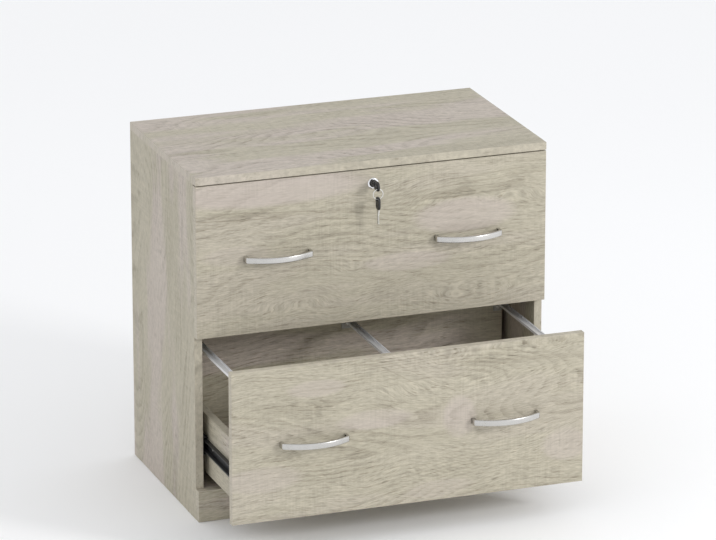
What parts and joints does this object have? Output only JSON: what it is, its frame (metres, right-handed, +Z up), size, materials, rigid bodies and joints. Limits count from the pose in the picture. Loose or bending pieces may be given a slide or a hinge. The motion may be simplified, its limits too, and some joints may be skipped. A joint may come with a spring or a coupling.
{
  "type": "filing cabinet",
  "caption": "Low lateral filing cabinet with stacked pull-out drawers for hanging files, bow handles and a keyed cam lock.",
  "frame": {"origin": "on the floor, at the middle of the plinth board's lower face", "axes": "+X from left to right seen from the front, +Y from front to back, +Z up"},
  "size_m": [0.7, 0.6332, 0.679],
  "materials": {
    "oak_laminate": "light oak laminate, satin",
    "drawer_board": "light oak laminate, satin",
    "thin_board": "light board, satin",
    "dowel_wood": "beech, bare",
    "slide_steel": "black coated steel, satin",
    "ball_cage_steel": "bright steel",
    "rail_aluminium": "satin anodised",
    "bracket_plastic": "grey, matt",
    "satin_nickel": "satin nickel",
    "zinc_steel": "zinc plated",
    "lock_chrome": "polished",
    "plug_metal": "dark, satin",
    "key_plastic": "black bow, bright blade"
  },
  "bodies": {
    "case": {"top_panel": "oak_laminate", "left_side_panel": "oak_laminate", "right_side_panel": "oak_laminate", "bottom_panel": "oak_laminate", "plinth_board": "oak_laminate", "back_panel": "thin_board", "rear_rail": "oak_laminate", "lock_strike": "zinc_steel", "case_cam_discs": "zinc_steel", "case_cam_pins": "zinc_steel", "case_dowels": "dowel_wood", "case_screws": "zinc_steel", "upper_left_outer_slide": "slide_steel", "upper_right_outer_slide": "slide_steel", "lower_left_outer_slide": "slide_steel", "lower_right_outer_slide": "slide_steel"},
    "upper_drawer": {"upper_drawer_front": "oak_laminate", "upper_left_drawer_side": "drawer_board", "upper_right_drawer_side": "drawer_board", "upper_drawer_back": "drawer_board", "upper_drawer_bottom": "thin_board", "upper_left_file_rail": "rail_aluminium", "upper_middle_file_rail": "rail_aluminium", "upper_right_file_rail": "rail_aluminium", "upper_rail_brackets": "bracket_plastic", "upper_left_handle": "satin_nickel", "upper_right_handle": "satin_nickel", "upper_handle_screws": "zinc_steel", "upper_drawer_screws": "zinc_steel", "upper_left_inner_slide": "slide_steel", "upper_right_inner_slide": "slide_steel", "upper_cam_fittings": "zinc_steel", "lock_housing": "lock_chrome", "lock_nut": "zinc_steel"},
    "lower_drawer": {"lower_drawer_front": "oak_laminate", "lower_left_drawer_side": "drawer_board", "lower_right_drawer_side": "drawer_board", "lower_drawer_back": "drawer_board", "lower_drawer_bottom": "thin_board", "lower_left_file_rail": "rail_aluminium", "lower_middle_file_rail": "rail_aluminium", "lower_right_file_rail": "rail_aluminium", "lower_rail_brackets": "bracket_plastic", "lower_left_handle": "satin_nickel", "lower_right_handle": "satin_nickel", "lower_handle_screws": "zinc_steel", "lower_drawer_screws": "zinc_steel", "lower_left_inner_slide": "slide_steel", "lower_right_inner_slide": "slide_steel", "lower_cam_fittings": "zinc_steel"},
    "upper_ball_cages": {"upper_left_ball_cage": "ball_cage_steel", "upper_right_ball_cage": "ball_cage_steel"},
    "lower_ball_cages": {"lower_left_ball_cage": "ball_cage_steel", "lower_right_ball_cage": "ball_cage_steel"},
    "lock_plug": {"lock_plug": "plug_metal", "lock_cam": "zinc_steel", "lock_cam_screw": "zinc_steel"},
    "key": {"key": "key_plastic"},
    "key_ring": {"key_ring": "zinc_steel"},
    "spare_key": {"spare_key": "key_plastic"}
  },
  "joints": [
    {"name": "upper_drawer_slide", "type": "slide", "parent": "case", "child": "upper_drawer", "axis": [0, -1, 0], "range_m": [0, 0.26]},
    {"name": "upper_cage_slide", "type": "slide", "parent": "case", "child": "upper_ball_cages", "axis": [0, -1, 0], "range_m": [0, 0.13]},
    {"name": "lower_drawer_slide", "type": "slide", "parent": "case", "child": "lower_drawer", "axis": [0, -1, 0], "range_m": [-0.1992, 0.0608]},
    {"name": "lower_cage_slide", "type": "slide", "parent": "case", "child": "lower_ball_cages", "axis": [0, -1, 0], "range_m": [-0.0996, 0.0304]},
    {"name": "plug_turn", "type": "hinge", "parent": "upper_drawer", "child": "lock_plug", "pos_m": [0, -0.0075, 0.634], "axis": [0, 1, 0], "range_deg": [0, 90]},
    {"name": "key_pull", "type": "slide", "parent": "lock_plug", "child": "key", "axis": [0, -1, 0], "range_m": [0, 0.024]},
    {"name": "ring_swing", "type": "hinge", "parent": "key", "child": "key_ring", "pos_m": [0, -0.0356, 0.6265], "axis": [0, 1, 0], "range_deg": [-90, 0]},
    {"name": "spare_key_swing", "type": "hinge", "parent": "key_ring", "child": "spare_key", "pos_m": [0, -0.0356, 0.6104], "axis": [1, 0, 0], "range_deg": [-60, 12]}
  ],
  "couplings": [
    {"joint": "upper_cage_slide", "follows": "upper_drawer_slide", "ratio": 0.5},
    {"joint": "lower_cage_slide", "follows": "lower_drawer_slide", "ratio": 0.5},
    {"joint": "ring_swing", "follows": "plug_turn", "ratio": -1}
  ]
}
